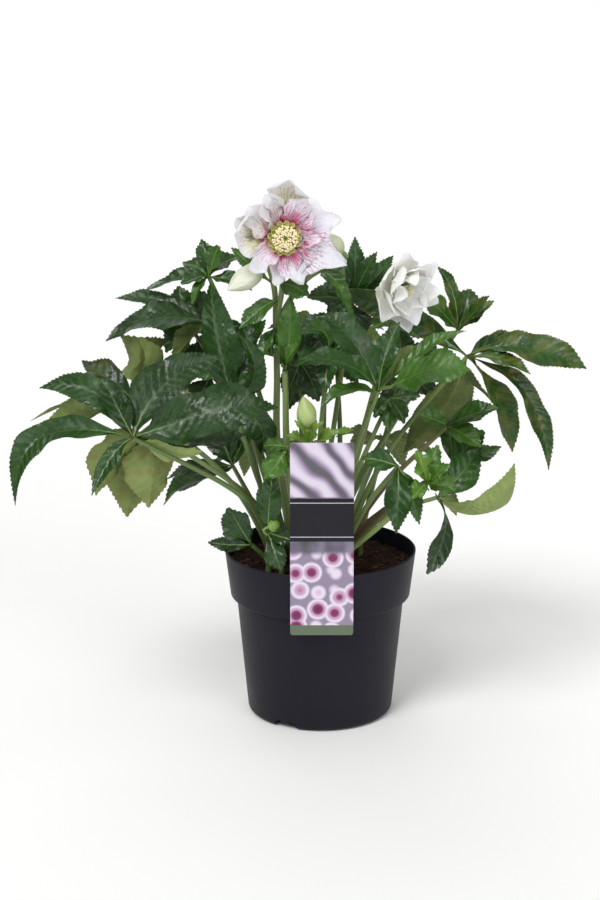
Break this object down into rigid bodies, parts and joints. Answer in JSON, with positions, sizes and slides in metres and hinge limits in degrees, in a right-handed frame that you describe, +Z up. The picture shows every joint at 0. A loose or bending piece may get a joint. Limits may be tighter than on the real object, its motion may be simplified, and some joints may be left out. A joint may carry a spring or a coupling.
{
  "type": "potted hellebore plant",
  "caption": "Hellebore with toothed pedate leaves, a spotted pale pink bloom, a white double bloom and buds, growing in a black nursery pot with a plant tag.",
  "frame": {"origin": "middle of the pot's underside, on the surface that it stands on", "axes": "+Z up along the pot's axis, -Y towards the plant's front, where the tag stands, +X to the right seen from the front"},
  "size_m": [0.4835, 0.3115, 0.4814],
  "materials": {
    "pot_plastic": "satin moulded polypropylene",
    "tag_card": "printed plastic card",
    "soil": "moist peat and bark fibre",
    "leaf_dark": "glossy leathery leaf",
    "leaf_pale": "matt leaf underside",
    "leaf_new": "fresh young leaf",
    "stem_green": "juicy stem",
    "petal_pink": "soft petal",
    "petal_white": "soft petal",
    "nectary": "waxy",
    "stamen": "powdery",
    "bud": "soft bud"
  },
  "bodies": {
    "root": {"pot": "pot_plastic", "tag": "tag_card", "soil": "soil", "leaf_front_left": "leaf_dark", "leaf_under_left": "leaf_pale", "leaf_outer_left": "leaf_pale", "leaf_upper_left": "leaf_dark", "leaf_upright_left": "leaf_dark", "leaf_left_centre": "leaf_dark", "leaf_high_left": "leaf_dark", "leaf_low_back_left": "leaf_dark", "leaf_new_left": "leaf_new", "leaf_upper_middle": "leaf_dark", "leaf_centre": "leaf_dark", "leaf_middle_right": "leaf_dark", "leaf_outer_right": "leaf_dark", "leaf_high_right": "leaf_dark", "leaf_low_right": "leaf_pale", "leaf_brown_stem": "leaf_dark", "leaf_low_middle_right": "leaf_dark", "leaf_bright_right": "leaf_new", "leaf_rhombic_right": "leaf_dark", "leaf_middle_back": "leaf_dark", "leaf_thin_right": "leaf_dark", "leaf_back_centre": "leaf_dark", "leaf_back_left": "leaf_dark", "leaf_back_right": "leaf_dark", "leaf_back_upper_left": "leaf_dark", "leaf_dark_centre": "leaf_dark", "leaf_low_left": "leaf_dark", "leaf_low_lobed": "leaf_dark", "leaf_rear_left": "leaf_dark", "leaf_rear_middle": "leaf_dark", "leaf_rear_right": "leaf_dark", "leaf_rear_low_left": "leaf_dark", "leaf_rear_low_right": "leaf_dark", "stem_main_bloom": "stem_green", "stem_white_bloom": "stem_green", "stem_leafy": "stem_green", "stem_bud": "stem_green", "bloom_main_petals": "petal_pink", "bloom_white_petals": "petal_white", "bloom_main_nectaries": "nectary", "bloom_main_stamens": "stamen", "bloom_main_carpels": "nectary", "bloom_white_stamens": "stamen", "bud_upright": "bud", "bud_left": "bud", "bud_right": "bud"}
  },
  "joints": []
}
